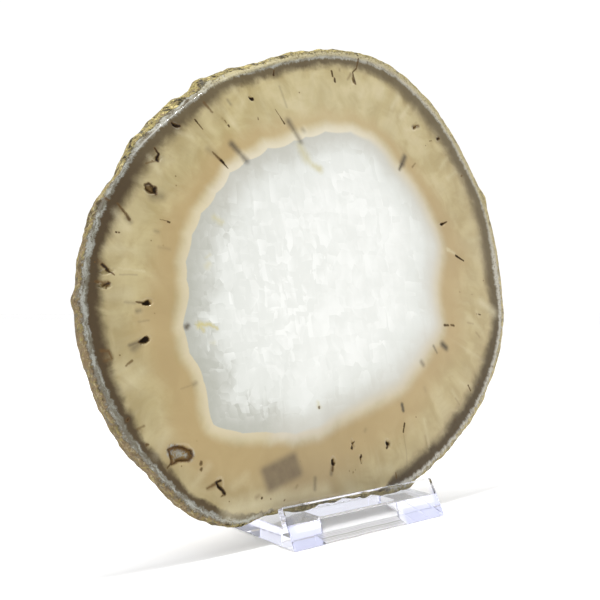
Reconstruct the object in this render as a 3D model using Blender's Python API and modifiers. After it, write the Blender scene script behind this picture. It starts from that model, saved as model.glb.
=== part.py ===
"""A polished slice of agate leaning back on a clear moulded stand, with a blank sticker on its back.

Metres, +Z up. The polished face looks along -Y and leans back over the stand.
The origin is on the table, under the middle of the whole object's box.
"""
import itertools
import math

import bmesh
import bpy
import numpy as np
from mathutils import Matrix, Vector

MM = 0.001

# Stand: one moulded piece with a base, a front lip and a backrest
STAND_WIDTH = 60.0 * MM
STAND_DEPTH = 54.0 * MM
BASE_THICKNESS = 5.2 * MM
LIP_LENGTH = 12.6 * MM
LIP_THICKNESS = 2.5 * MM
LIP_LEAN = math.radians(28.8)
WINDOW_WIDTH = 31.0 * MM
WINDOW_FRONT = 8.3 * MM
WINDOW_REAR = 15.8 * MM
WINDOW_CORNER = 1.2 * MM
BACKREST_WIDTH = 26.0 * MM
BACKREST_THICKNESS = 3.0 * MM
BACKREST_LENGTH = 56.0 * MM
BACKREST_CORNER = 5.0 * MM
EDGE_ROUND = 0.35 * MM

# Slice: a slab of stone between two sawn faces, leaning back over the stand
SLICE_THICKNESS = 6.0 * MM
SLICE_LEAN = math.radians(12.0)
SLICE_MIDDLE = (4.0 * MM, 26.0 * MM, 79.8 * MM)
RIM_ANGLES = 240
SEAT_GAP = 0.3 * MM

# Outer edge of the polished face: degrees round from +X and mm from the slice's middle
FACE_OUTLINE = (
    (0, 87.1), (15, 89.2), (30, 89.8), (45, 90.6), (60, 88.4), (75, 80.8), (90, 72.9), (105, 68.0),
    (120, 66.6), (135, 66.8), (150, 70.4), (165, 76.4), (180, 83.3), (195, 87.7), (210, 90.0),
    (225, 90.3), (234, 89.6), (240, 86.4), (245, 80.8), (250, 76.9), (260, 74.0), (270, 73.6),
    (285, 75.9), (300, 76.2), (315, 78.5), (330, 82.5), (345, 86.3))
# How far the rim spreads outward for each mm towards the back
RIM_SPREAD = ((0, 0.05), (45, 0.10), (75, 0.30), (105, 0.40), (128, 0.55), (150, 0.34), (161, -0.05),
              (180, -0.15), (225, -0.10), (242, -0.05), (253, 0.48), (263, 0.05), (278, 0.0), (287, 0.14),
              (300, 0.0), (315, 0.0))
# Width of the rough skin where the polished face cuts it, in mm
SKIN_WIDTH = ((0, 2.0), (45, 1.9), (75, 1.7), (105, 0.9), (135, 0.5), (165, 0.8), (195, 0.8), (225, 0.9),
              (255, 1.2), (285, 1.4), (315, 1.4), (345, 1.7))
# Single knobs that stand out of the rim: degrees, mm, width in degrees
RIM_KNOBS = ((19.5, 2.2, 2.4), (46.0, 0.8, 2.2), (65.0, 0.7, 2.0), (124.0, 0.9, 2.6), (153.5, 0.4, 3.0),
             (188.0, 0.9, 1.8), (262.0, 0.9, 2.0), (286.5, 0.8, 2.0))
# Rings from the front edge to the back edge: share of the thickness, inset in mm, share of the lumps
RIM_RINGS = ((0.0, "skin", 0.15), (0.07, 0.0, 0.6), (0.25, -0.35, 1.0), (0.45, -0.50, 1.0),
             (0.65, -0.40, 1.0), (0.83, -0.10, 0.9), (0.95, 0.35, 0.6), (1.0, 0.9, 0.3))
LUMP_SIZES = ((9.0, 0.55, 11), (4.2, 0.40, 12), (2.4, 0.20, 13))

# Hollows in the polished face: degrees, mm from the middle, length, width, depth in mm, turn from radial
HOLLOWS = (
    (221.4, 80.8, 7.2, 4.3, 1.5, -48), (198.6, 71.6, 3.4, 1.7, 1.2, 0), (190.8, 67.2, 3.2, 1.7, 1.2, 0),
    (162.6, 64.6, 3.8, 2.4, 1.1, 12), (46.4, 74.8, 3.8, 1.6, 0.9, 0), (183.2, 77.0, 4.0, 1.3, 0.8, 10),
    (186.0, 78.4, 3.6, 1.3, 0.8, -8), (231.6, 80.2, 3.0, 2.0, 0.9, 35), (283.8, 60.7, 2.6, 2.0, 1.0, 20),
    (261.6, 62.6, 2.6, 1.9, 1.0, 0), (153.6, 65.3, 2.6, 1.7, 0.8, 40), (142.2, 65.0, 2.4, 1.5, 0.8, 15),
    (16.2, 60.4, 3.0, 1.3, 0.8, 0), (71.2, 71.4, 3.0, 1.5, 0.7, 20), (113.4, 57.9, 2.2, 1.4, 0.7, 0),
    (269.6, 57.5, 2.8, 1.2, 0.7, 20), (271.9, 62.6, 2.8, 1.0, 0.7, 12), (38.7, 81.4, 2.2, 1.2, 0.7, 0))

# Blank sticker on the sawn back
LABEL_WIDTH = 13.7 * MM
LABEL_HEIGHT = 7.4 * MM
LABEL_THICKNESS = 0.25 * MM
LABEL_CORNER = 0.9 * MM
LABEL_AT = (-26.3 * MM, -62.5 * MM)
LABEL_TURN = math.radians(14.5)

# Middle of the whole object's box, seen from the stand's middle and front edge
BOX_MIDDLE_X = 4.95 * MM
BOX_MIDDLE_Y = 27.07 * MM


def clear_scene():
    for item in list(bpy.data.objects):
        bpy.data.objects.remove(item, do_unlink=True)


def new_collection(name):
    group = bpy.data.collections.new(name)
    bpy.context.scene.collection.children.link(group)
    return group


def finish(name, colour, roughness, transmission=0.0, ior=1.5):
    """A plain finish with the piece's own colour."""
    material = bpy.data.materials.new(name)
    material.use_nodes = True
    shader = material.node_tree.nodes["Principled BSDF"]
    shader.inputs["Base Color"].default_value = (*colour, 1.0)
    shader.inputs["Roughness"].default_value = roughness
    shader.inputs["Metallic"].default_value = 0.0
    shader.inputs["Transmission Weight"].default_value = transmission
    shader.inputs["IOR"].default_value = ior
    return material


def add_object(name, mesh, group, material=None):
    item = bpy.data.objects.new(name, mesh)
    group.objects.link(item)
    if material:
        mesh.materials.append(material)
    return item


def hide_guide(item):
    item.hide_render = True
    item.display_type = "WIRE"


def closed_curve(points, angles):
    """Smooth closed curve through hand-set (degrees, value) points, read at the given angles."""
    at = np.array([point[0] for point in points], float)
    value = np.array([point[1] for point in points], float)
    before, after = np.roll(at, 1), np.roll(at, -1)
    before[0] -= 360.0
    after[-1] += 360.0
    slope = (np.roll(value, -1) - np.roll(value, 1)) / (after - before)
    angles = np.mod(angles, 360.0)
    left = (np.searchsorted(at, angles, side="right") - 1) % len(at)
    right = (left + 1) % len(at)
    span = np.mod(at[right] - at[left], 360.0)
    t = np.mod(angles - at[left], 360.0) / span
    rise = (value[left] * (1 + 2 * t) + slope[left] * span * t) * (1 - t) ** 2
    fall = (value[right] * (3 - 2 * t) - slope[right] * span * (1 - t)) * t ** 2
    return rise + fall


def lattice_noise(points, size, seed):
    """Smooth bumps between -1 and 1: seeded numbers on a cubic lattice, blended between its corners."""
    table = np.random.default_rng(seed).uniform(-1.0, 1.0, (32, 32, 32))
    scaled = points / size
    cell = np.floor(scaled).astype(int)
    part = scaled - cell
    blend = part * part * (3.0 - 2.0 * part)
    total = 0.0
    for corner in itertools.product((0, 1), repeat=3):
        weight = 1.0
        for axis, side in enumerate(corner):
            weight = weight * (blend[..., axis] if side else 1.0 - blend[..., axis])
        at = (cell + corner) % 32
        total = total + weight * table[at[..., 0], at[..., 1], at[..., 2]]
    return total


def rim_points():
    """The rim as rings from the front edge to the back edge, each a smooth closed curve with lumps.

    Radius = face outline + spread times depth - inset + knobs + lumps, all in mm.
    """
    angles = np.arange(RIM_ANGLES) * 360.0 / RIM_ANGLES
    turn = np.radians(angles)
    outline = closed_curve(FACE_OUTLINE, angles)
    spread = closed_curve(RIM_SPREAD, angles)
    skin = closed_curve(SKIN_WIDTH, angles)
    knobs = sum(height * np.exp(-((np.mod(angles - at + 180.0, 360.0) - 180.0) / width) ** 2)
                for at, height, width in RIM_KNOBS)
    rings = []
    for share, inset, lumpiness in RIM_RINGS:
        depth = share * SLICE_THICKNESS / MM
        radius = outline + spread * depth - (skin if inset == "skin" else inset)
        flat = np.stack([radius * np.cos(turn), np.full_like(turn, depth), radius * np.sin(turn)], -1)
        lumps = sum(height * lattice_noise(flat + 200.0, size, seed) for size, height, seed in LUMP_SIZES)
        radius = radius + lumpiness * (lumps + knobs)
        rings.append(np.stack([radius * np.cos(turn), np.full_like(turn, depth), radius * np.sin(turn)], -1))
    return np.array(rings) * MM


def slice_mesh():
    """A loft through the rim's rings, closed by the flat polished face and the flat sawn back."""
    rings = rim_points()
    ring_count, count = rings.shape[:2]
    faces = [tuple(range(count))]
    for ring in range(ring_count - 1):
        here, there = ring * count, (ring + 1) * count
        for step in range(count):
            after = (step + 1) % count
            faces.append((here + step, there + step, there + after, here + after))
    faces.append(tuple(reversed(range((ring_count - 1) * count, ring_count * count))))
    mesh = bpy.data.meshes.new("agate_slice")
    mesh.from_pydata([tuple(point) for point in rings.reshape(-1, 3)], [], faces)
    mesh.validate()
    work = bmesh.new()
    work.from_mesh(mesh)
    bmesh.ops.recalc_face_normals(work, faces=work.faces)
    work.to_mesh(mesh)
    work.free()
    return mesh


def hollow_cutters():
    """One mesh of flattened balls, one for each hollow, half sunk in the polished face."""
    work = bmesh.new()
    for degrees, radius, length, width, depth, turn in HOLLOWS:
        round_to = math.radians(degrees)
        place = Matrix.Translation(Vector((radius * math.cos(round_to), 0, radius * math.sin(round_to))) * MM)
        swing = Matrix.Rotation(-(round_to + math.radians(turn)), 4, "Y")
        size = Matrix.Diagonal((length * MM, 2 * depth * MM, width * MM, 1.0))
        bmesh.ops.create_uvsphere(work, u_segments=10, v_segments=6, radius=0.5, matrix=place @ swing @ size)
    mesh = bpy.data.meshes.new("hollow_cutters")
    work.to_mesh(mesh)
    work.free()
    return mesh


def slice_place():
    """Where the slice's own middle stands: X along the face, Y into the stone, Z up the face."""
    return Matrix.Translation(SLICE_MIDDLE) @ Matrix.Rotation(-SLICE_LEAN, 4, "X")


def cut(item, cutter, operation="DIFFERENCE"):
    step = item.modifiers.new(cutter.name, "BOOLEAN")
    step.operation = operation
    step.object = cutter
    step.solver = "EXACT"
    hide_guide(cutter)
    return step


def outline_plate(name, corners, thickness, round_at=None, corner_radius=0.0, steps=4):
    """A flat plate from a polygon of (x, y) corners, with arcs at the corners named in round_at."""
    points = []
    for index, corner in enumerate(corners):
        here = Vector(corner)
        if round_at is None or index not in round_at:
            points.append(here)
            continue
        back = (Vector(corners[index - 1]) - here).normalized()
        ahead = (Vector(corners[(index + 1) % len(corners)]) - here).normalized()
        half = back.angle(ahead) / 2
        reach = corner_radius / math.tan(half)
        middle = here + (back + ahead).normalized() * corner_radius / math.sin(half)
        start, end = here + back * reach - middle, here + ahead * reach - middle
        for step in range(steps + 1):
            points.append(middle + corner_radius * start.slerp(end, step / steps))
    curve = bpy.data.curves.new(name, "CURVE")
    curve.dimensions = "2D"
    curve.fill_mode = "BOTH"
    curve.extrude = thickness / 2
    spline = curve.splines.new("POLY")
    spline.points.add(len(points) - 1)
    for target, point in zip(spline.points, points):
        target.co = (point.x, point.y, 0.0, 1.0)
    spline.use_cyclic_u = True
    return curve


def curve_to_mesh(curve, place):
    """The curve's solid as a closed mesh, with its caps welded and its place applied."""
    carrier = bpy.data.objects.new(curve.name, curve)
    bpy.context.scene.collection.objects.link(carrier)
    bpy.context.view_layer.update()
    seen = carrier.evaluated_get(bpy.context.evaluated_depsgraph_get())
    mesh = bpy.data.meshes.new_from_object(seen)
    bpy.data.objects.remove(carrier, do_unlink=True)
    bpy.data.curves.remove(curve)
    work = bmesh.new()
    work.from_mesh(mesh)
    bmesh.ops.remove_doubles(work, verts=work.verts, dist=0.01 * MM)
    bmesh.ops.transform(work, matrix=place, verts=work.verts)
    bmesh.ops.recalc_face_normals(work, faces=work.faces)
    work.to_mesh(mesh)
    work.free()
    return mesh


def round_edges(item, width, segments=2):
    step = item.modifiers.new("rounded edges", "BEVEL")
    step.width = width
    step.segments = segments
    step.limit_method = "ANGLE"
    step.angle_limit = math.radians(35)


def stand_profile():
    """Side view of base and lip, from the front edge backwards: x is depth, y is height."""
    sine, cosine, slope = math.sin(LIP_LEAN), math.cos(LIP_LEAN), math.tan(LIP_LEAN)
    lip_back = BASE_THICKNESS * slope + LIP_THICKNESS / cosine
    top_front = (LIP_LENGTH * sine, LIP_LENGTH * cosine)
    top_back = (top_front[0] + LIP_THICKNESS * cosine, top_front[1] - LIP_THICKNESS * sine)
    return ((0.0, 0.0), (STAND_DEPTH, 0.0), (STAND_DEPTH, BASE_THICKNESS), (lip_back, BASE_THICKNESS),
            top_back, top_front)


def build_stand(group, cutters):
    """Base and lip in one profile along X, a window through the base, and the leaning backrest joined on."""
    across = Matrix(((0, 0, 1, 0), (1, 0, 0, 0), (0, 1, 0, 0), (0, 0, 0, 1)))
    material = finish("clear acrylic", (0.93, 0.93, 0.97), 0.03, transmission=1.0, ior=1.49)
    profile = outline_plate("clear_stand", stand_profile(), STAND_WIDTH)
    stand = add_object("clear_stand", curve_to_mesh(profile, across), group, material)
    round_edges(stand, EDGE_ROUND)

    half = WINDOW_WIDTH / 2
    corners = ((-half, WINDOW_FRONT), (half, WINDOW_FRONT), (half, WINDOW_REAR), (-half, WINDOW_REAR))
    window = outline_plate("window", corners, 3 * BASE_THICKNESS, range(4), WINDOW_CORNER)
    window_cutter = add_object("window_cutter", curve_to_mesh(window, Matrix()), cutters)
    cut(stand, window_cutter)

    half = BACKREST_WIDTH / 2
    low = -BASE_THICKNESS / 2
    corners = ((-half, low), (half, low), (half, BACKREST_LENGTH), (-half, BACKREST_LENGTH))
    plate = outline_plate("backrest", corners, BACKREST_THICKNESS, (2, 3), BACKREST_CORNER, steps=5)
    down_face = (SLICE_MIDDLE[2] - BASE_THICKNESS) * math.tan(SLICE_LEAN)
    from_face = (SLICE_THICKNESS + SEAT_GAP + BACKREST_THICKNESS / 2) / math.cos(SLICE_LEAN)
    place = (Matrix.Translation((0.0, SLICE_MIDDLE[1] - down_face + from_face, BASE_THICKNESS))
             @ Matrix.Rotation(math.radians(90) - SLICE_LEAN, 4, "X"))
    backrest = add_object("backrest", curve_to_mesh(plate, place), cutters)
    round_edges(backrest, EDGE_ROUND)
    cut(stand, backrest, "UNION")
    return stand


def build_slice(group, cutters):
    material = finish("agate", (0.62, 0.54, 0.40), 0.12, ior=1.54)
    stone = add_object("agate_slice", slice_mesh(), group, material)
    stone.matrix_world = slice_place()
    hollows = add_object("hollow_cutters", hollow_cutters(), cutters)
    hollows.matrix_world = slice_place()
    cut(stone, hollows)
    stone.data.shade_smooth()
    stone.data.set_sharp_from_angle(angle=math.radians(40))
    return stone


def build_label(group):
    material = finish("blank paper label", (0.86, 0.85, 0.82), 0.6)
    x, y = LABEL_WIDTH / 2, LABEL_HEIGHT / 2
    plate = outline_plate("back_label", ((-x, -y), (x, -y), (x, y), (-x, y)), LABEL_THICKNESS, range(4),
                          LABEL_CORNER)
    on_back = SLICE_THICKNESS + SEAT_GAP + LABEL_THICKNESS / 2
    turned = Matrix.Rotation(-LABEL_TURN, 4, "Y") @ Matrix.Rotation(math.radians(90), 4, "X")
    place = slice_place() @ Matrix.Translation((LABEL_AT[0], on_back, LABEL_AT[1])) @ turned
    return add_object("back_label", curve_to_mesh(plate, place), group, material)


def main():
    clear_scene()
    group = new_collection("agate slice on a clear stand")
    cutters = new_collection("cutters")
    centre = bpy.data.objects.new("object_frame", None)
    group.objects.link(centre)
    centre.location = (-BOX_MIDDLE_X, -BOX_MIDDLE_Y, 0.0)
    build_stand(group, cutters)
    build_slice(group, cutters)
    build_label(group)
    for item in list(group.objects) + list(cutters.objects):
        if item is not centre:
            item.parent = centre


main()
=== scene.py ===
import itertools
import math
import bpy
import numpy as np
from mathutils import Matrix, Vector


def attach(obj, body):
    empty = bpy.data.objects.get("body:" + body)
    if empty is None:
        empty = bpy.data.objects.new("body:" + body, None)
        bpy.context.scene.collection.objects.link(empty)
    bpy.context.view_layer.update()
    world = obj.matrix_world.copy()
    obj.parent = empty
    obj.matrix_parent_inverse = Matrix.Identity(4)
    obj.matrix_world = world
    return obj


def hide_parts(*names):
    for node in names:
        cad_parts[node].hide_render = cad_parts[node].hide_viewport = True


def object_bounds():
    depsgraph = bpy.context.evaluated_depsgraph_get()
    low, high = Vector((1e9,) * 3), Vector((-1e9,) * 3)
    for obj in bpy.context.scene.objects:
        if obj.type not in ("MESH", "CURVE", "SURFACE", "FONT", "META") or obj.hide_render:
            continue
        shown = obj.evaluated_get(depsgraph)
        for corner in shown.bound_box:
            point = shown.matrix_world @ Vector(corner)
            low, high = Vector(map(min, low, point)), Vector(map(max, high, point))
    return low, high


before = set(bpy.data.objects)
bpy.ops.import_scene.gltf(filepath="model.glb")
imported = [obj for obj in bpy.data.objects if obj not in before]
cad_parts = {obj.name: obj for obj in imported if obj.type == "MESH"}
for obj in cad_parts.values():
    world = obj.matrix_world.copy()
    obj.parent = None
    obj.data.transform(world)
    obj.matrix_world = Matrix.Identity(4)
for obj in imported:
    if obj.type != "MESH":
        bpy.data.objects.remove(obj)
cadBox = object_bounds()
mm = 0.001
scene = bpy.context.scene
white, black = (1.0, 1.0, 1.0, 1.0), (0.0, 0.0, 0.0, 1.0)


# Small helpers for node trees
def tone(red, green, blue, light=1.0):
    # A colour as the eye sees it (0 to 255) turned into the linear colour a shader wants
    levels = np.array([red, green, blue]) / 255.0
    linear = np.where(levels <= 0.04045, levels / 12.92, ((levels + 0.055) / 1.055) ** 2.4) * light
    return (*[float(level) for level in linear], 1.0)


class Wire:
    # A node's output, so that a formula on it reads as plain sums; each sum adds one math node
    def __init__(self, socket):
        self.socket, self.tree = socket, socket.id_data

    def __add__(self, other):
        return sums("ADD", self, other)

    def __sub__(self, other):
        return sums("SUBTRACT", self, other)

    def __rsub__(self, other):
        return sums("SUBTRACT", other, self)

    def __mul__(self, other):
        if isVector(self) and not isVector(other):
            return made("ShaderNodeVectorMath", {0: self, "Scale": other}, operation="SCALE")
        return sums("MULTIPLY", self, other)

    def __truediv__(self, other):
        return sums("DIVIDE", self, other)

    def __abs__(self):
        return sums("ABSOLUTE", self)


def isVector(term):
    return isinstance(term, tuple) or (isinstance(term, Wire) and term.socket.type != "VALUE")


def setInputs(node, values):
    # values: socket name or number -> a number, a colour or a wire from another node
    for name, value in values.items():
        if isinstance(value, Wire):
            value.tree.links.new(value.socket, node.inputs[name])
        else:
            node.inputs[name].default_value = value


def start(tree, kind, output=0, **settings):
    # A node that takes nothing in, and one of its outputs
    node = tree.nodes.new(kind)
    for name, value in settings.items():
        setattr(node, name, value)
    return Wire(node.outputs[output])


def made(kind, values, output=0, **settings):
    # A node in the tree that its wires come from, and one of its outputs
    tree = next(value.tree for value in values.values() if isinstance(value, Wire))
    wire = start(tree, kind, output, **settings)
    setInputs(wire.socket.node, values)
    return wire


def sums(operation, *terms):
    # Plain or vector maths, as the terms are; a length or a dot product comes out as a number
    if not any(isVector(term) for term in terms):
        return made("ShaderNodeMath", dict(enumerate(terms)), operation=operation)
    output = "Value" if operation in ("LENGTH", "DOT_PRODUCT", "DISTANCE") else "Vector"
    return made("ShaderNodeVectorMath", dict(enumerate(terms)), output, operation=operation)


def dot(first, second):
    return sums("DOT_PRODUCT", first, second)


def limited(value):
    # Kept between 0 and 1 with plain nodes: hundreds of clamped ones overflow the shader's stack
    return sums("MINIMUM", sums("MAXIMUM", value, 0.0), 1.0)


def ranged(value, low, high, toLow=0.0, toHigh=1.0, shape="SMOOTHSTEP"):
    return made("ShaderNodeMapRange", {0: value, 1: low, 2: high, 3: toLow, 4: toHigh},
                interpolation_type=shape, clamp=False)


def mixed(amount, first, second):
    # From first to second: each a wire, a colour or the name of one of the stone's colours
    first, second = (stoneColours[end] if isinstance(end, str) else end for end in (first, second))
    return made("ShaderNodeMix", {0: amount, 6: first, 7: second}, 2, data_type="RGBA", clamp_factor=True)


def painted(base, *coats):
    # Coats laid one over another, each a mask and a colour
    for mask, colour in coats:
        base = mixed(mask, base, colour)
    return base


def noise(place, scale, detail, roughness, warp=0.0, output="Fac"):
    # Noise over a place, or along a single number
    line = not isVector(place)
    return made("ShaderNodeTexNoise", {
        "W" if line else "Vector": place, "Scale": scale, "Detail": detail, "Roughness": roughness,
        "Distortion": warp}, output, noise_dimensions="1D" if line else "3D")


def cells(place, scale, output="Distance", measure="EUCLIDEAN"):
    return made("ShaderNodeTexVoronoi", {"Vector": place, "Scale": scale}, output, distance=measure)


def joined(x=0.0, y=0.0, z=0.0):
    return made("ShaderNodeCombineXYZ", {0: x, 1: y, 2: z})


def parted(vector):
    first = made("ShaderNodeSeparateXYZ", {0: vector})
    return [Wire(socket) for socket in first.socket.node.outputs]


def bumped(height, strength, distance):
    return made("ShaderNodeBump", {"Height": height, "Strength": strength, "Distance": distance})


def attribute(tree, name, output="Fac"):
    return start(tree, "ShaderNodeAttribute", output, attribute_name=name)


def newMaterial(name):
    material = bpy.data.materials.new(name)
    material.use_nodes = True
    tree = material.node_tree
    return material, tree, tree.nodes["Principled BSDF"]


# The stone's shape
stoneShape = {
    "thickness": 6.0,                    # mm between the two sawn faces
    "lean": math.radians(12.0),          # how far the slice leans back
    "middle": (-0.95, -1.07, 79.8),      # mm, where the slice's own middle stands
    "turns": 860,                        # points round the rim
    "frontRings": ((0.06, 0.56, 9), (0.6, 1.0, 50)),    # from and to, as shares of the radius, and how many:
    "backRings": ((0.08, 0.56, 6), (0.6, 1.0, 20)),     # few in the quartz and more in the agate
    "rimRings": 26,                      # rings over the rough rim
    "rimBias": 1.15,                     # above 1 they stand closer at the front
    "lumps": ((9.0, 0.55, 11), (4.2, 0.40, 12), (2.4, 0.20, 13)),    # mm across, mm high, seed
    "grainHeight": 0.30,                 # mm, height of the crust's finest grain
    "grain": ((1.5, 1.0, 21), (0.8, 0.6, 22)),          # mm across, share of the height, seed
    "grainSink": 0.4,                    # share of the height that the whole grain is set back
    "pocks": (2.1, 0.35, 23),            # mm across, level that they start from, seed
    "pockDepth": 2.24,                   # share of the height for each step past that level
    "edgeFade": 12,                      # both fade out over one part in 12 of the rim, at either edge
    "crispEdge": (146, 10.0),            # degrees, and half width, where the saw left a crisp edge
    "backMarks": 0.7,                    # how strong the marks are on the back
    "marksOver": (3, 4),                 # rings of the rim that marks reach over, from the front and the back
    "scallopDepth": 0.075,               # mm that the quartz line bows in for each degree between cusps
    "sharpFrom": math.radians(48),       # edges turned by more than this stay sharp
}

# Outer edge of the polished face: degrees round from +X, mm from the middle
faceOutline = (
    (0, 87.4), (15, 89.5), (30, 90.2), (45, 90.8), (60, 88.7), (75, 81.1), (90, 72.9), (105, 68),
    (120, 66.6), (135, 66.8), (150, 70.4), (165, 76.4), (180, 83.3), (195, 87.9), (210, 90.3), (225, 90.5),
    (234, 89.6), (240, 86.4), (245, 80.8), (250, 76.9), (260, 74), (270, 73.6), (285, 76), (300, 76.6),
    (315, 79), (330, 82.9), (345, 86.5))
# mm that the rim spreads outward for each mm of depth
rimSpread = (
    (0, 0.05), (45, 0.1), (75, 0.3), (105, 0.4), (128, 0.55), (150, 0.34), (161, 0), (180, -0.13),
    (225, -0.08), (242, -0.12), (253, 0.48), (263, 0.05), (278, 0), (287, 0.14), (300, 0), (315, 0))
# mm of rough skin outside the polished edge
skinWidth = (
    (0, 2), (45, 1.9), (75, 1.7), (105, 0.9), (135, 0.5), (165, 0.8), (195, 1), (210, 1.2), (225, 1.1),
    (255, 1.2), (285, 1.5), (300, 1.8), (315, 1.9), (345, 1.9))
# Knobs on the skin: degrees, mm high, width in degrees
rimKnobs = (
    (10.5, 0.5, 2.5), (19, 2.4, 2.4), (26, 0.4, 2.5), (42, 0.8, 2), (46.5, 0.5, 1.8), (64.5, -0.2, 2),
    (88, 0.5, 2.5), (124, 0.9, 2.2), (128, -0.6, 1.8), (134, 0.7, 2), (141.5, -0.4, 2), (151.5, 0.9, 2.4),
    (161, -0.9, 2.4), (169.8, 0.9, 2.4), (176.5, -0.3, 2), (188, 0.6, 1.3), (203, -0.5, 3), (219, -0.9, 2.2),
    (230, 0.5, 4), (262, 0.9, 2), (286.5, 0.8, 2), (323, 0.5, 4), (353, 0.5, 3))
# The rim's section: share of the thickness, inset in mm (none: as wide as the skin), share of the lumps
rimRings = (
    (0, None, 0.15), (0.07, 0, 0.6), (0.25, -0.35, 1), (0.45, -0.5, 1), (0.65, -0.4, 1), (0.83, -0.1, 0.9),
    (0.95, 0.35, 0.6), (1, 0.9, 0.3))
# Hollows in the polished face: degrees, mm out, length, width, depth, turn from radial
hollows = (
    (221.4, 80.8, 7.2, 4.3, 1.5, -48), (198.6, 71.6, 3.4, 1.7, 1.2, 0), (190.8, 67.2, 3.2, 1.7, 1.2, 0),
    (162.6, 64.6, 3.8, 2.4, 1.1, 12), (46.4, 74.8, 3.8, 1.6, 0.9, 0), (183.2, 77, 4, 1.3, 0.8, 10),
    (186, 78.4, 3.6, 1.3, 0.8, -8), (231.6, 80.2, 3, 2, 0.9, 35), (283.8, 60.7, 2.6, 2, 1, 20),
    (261.6, 62.6, 2.6, 1.9, 1, 0), (153.6, 65.3, 2.6, 1.7, 0.8, 40), (142.2, 65, 2.4, 1.5, 0.8, 15),
    (16.2, 60.4, 3, 1.3, 0.8, 0), (71.2, 71.4, 3, 1.5, 0.7, 20), (113.4, 57.9, 2.2, 1.4, 0.7, 0),
    (269.6, 57.5, 2.8, 1.2, 0.7, 20), (271.9, 62.6, 2.8, 1, 0.7, 12), (38.7, 81.4, 2.2, 1.2, 0.7, 0))

# The line between quartz and agate: degrees, mm from the middle; and the cusps of its scallops, in degrees
quartzLine = (
    (0, 50.4), (5, 52.8), (10, 54.3), (20, 53.5), (30, 53.2), (40, 52.2), (45, 51.6), (52, 52.8), (60, 52.6),
    (68, 51), (75, 48.8), (90, 43.8), (98, 42), (105, 41.4), (120, 41.5), (131, 42.3), (142, 43.8),
    (153, 44.9), (165, 48.5), (172, 50.4), (181, 52.9), (190, 54.4), (199, 59.2), (206, 61), (214, 62),
    (223, 68.2), (231, 64.5), (240, 59.2), (247, 56.8), (255, 53.2), (262, 49.2), (270, 46.8), (280, 45.4),
    (290, 45.4), (300, 46.4), (310, 46.4), (318, 47.4), (325, 48.4), (331, 50.4), (336, 51.3), (341, 49.6),
    (347, 48.2), (353, 48.2))
quartzCusps = (
    60, 69, 82, 93.5, 100.5, 117, 131.3, 141.7, 153.2, 163.5, 172, 181, 186.5, 198.8, 206, 214, 223.3, 231,
    240, 247, 255)
# How the banding changes round the slice: degrees and a value. Each becomes an attribute of the stone, and
# stoneMaterial reads them in this order.
bandCurves = {
    # mm over which the quartz line is soft
    "quartzBlur": (
        (0, 3.2), (10, 3), (20, 3.6), (40, 3.4), (54, 2.2), (66, 0.9), (80, 0.35), (110, 0.22), (200, 0.2),
        (240, 0.25), (255, 0.9), (268, 2.2), (300, 3), (330, 3.2)),
    # mm from the polished edge to the dark band
    "greyWidth": (
        (0, 2.4), (15, 1.5), (30, 1.9), (45, 2.2), (60, 2.4), (75, 1.8), (90, 1.6), (105, 1.4), (120, 0.5),
        (135, 0.6), (150, 0.5), (165, 0.9), (180, 1.6), (195, 1.2), (210, 1.5), (225, 0.9), (240, 0.9),
        (247, -1), (255, -1.8), (268, -1.8), (276, -0.8), (285, 0.7), (300, 0.3), (315, 0.5), (330, 0.9),
        (345, 1.2)),
    # mm of dark band
    "darkWidth": (
        (0, 5.8), (7, 6.2), (15, 5.8), (30, 5.1), (45, 6.4), (60, 4.1), (75, 2.6), (90, 2.6), (105, 2.9),
        (120, 3.4), (135, 3.6), (150, 4), (165, 4.8), (180, 2.9), (195, 3.7), (210, 2.2), (225, 2),
        (240, 0.7), (247, 0.3), (255, 0.25), (268, 0.25), (277, 1), (285, 3.8), (300, 4.2), (315, 4.6),
        (330, 4.8), (345, 4.2)),
    # how dark it is
    "darkDepth": (
        (0, 0.83), (30, 0.81), (60, 0.84), (90, 0.89), (120, 0.84), (140, 0.86), (152, 0.9), (165, 1),
        (200, 1), (235, 0.95), (285, 1), (315, 1), (340, 0.95)),
    # mm that the tan ring reaches out from the quartz
    "tanReach": (
        (0, 20), (15, 17), (40, 13), (75, 11), (120, 12), (180, 15), (192, 19), (205, 18), (235, 22),
        (260, 24), (290, 21), (315, 16), (335, 17), (350, 21)),
    # mm of bare wall before the crust starts
    "crustFrom": (
        (0, 0.1), (90, 0.3), (110, 0.7), (130, 1.1), (145, 1.2), (158, 0.5), (170, 0.3), (235, 0.2),
        (250, 0.4), (300, 0.2)),
    # how pale the crust is; it also tells the stone's right side from its left
    "crustPale": (
        (0, 0.95), (45, 0.75), (80, 0.55), (110, 0.45), (140, 0.44), (152, 0.44), (165, 0.28), (200, 0.1),
        (233, 0.2), (242, 0.5), (250, 0.64), (270, 0.66), (300, 0.8), (340, 1)),
    # how light the beige is painted: painted light and shade, lighter at the top and right, darker at the
    # foot, as the light falls
    "paintedLightAndShade": (
        (15, 0.38), (45, 0.66), (75, 1.02), (105, 0.9), (135, 0.48), (165, 0.36), (195, 0.24), (225, 0.26),
        (255, 0.02), (285, 0.26), (315, 0.39), (345, 0.5)),
}
# What the attributes are at the middle of the two faces; the others are 0 there
middleValues = {"fromEdge": 70.0, "fromQuartz": -45.0, "quartzBlur": 1.0, "greyWidth": 1.5, "darkWidth": 3.0}


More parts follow.
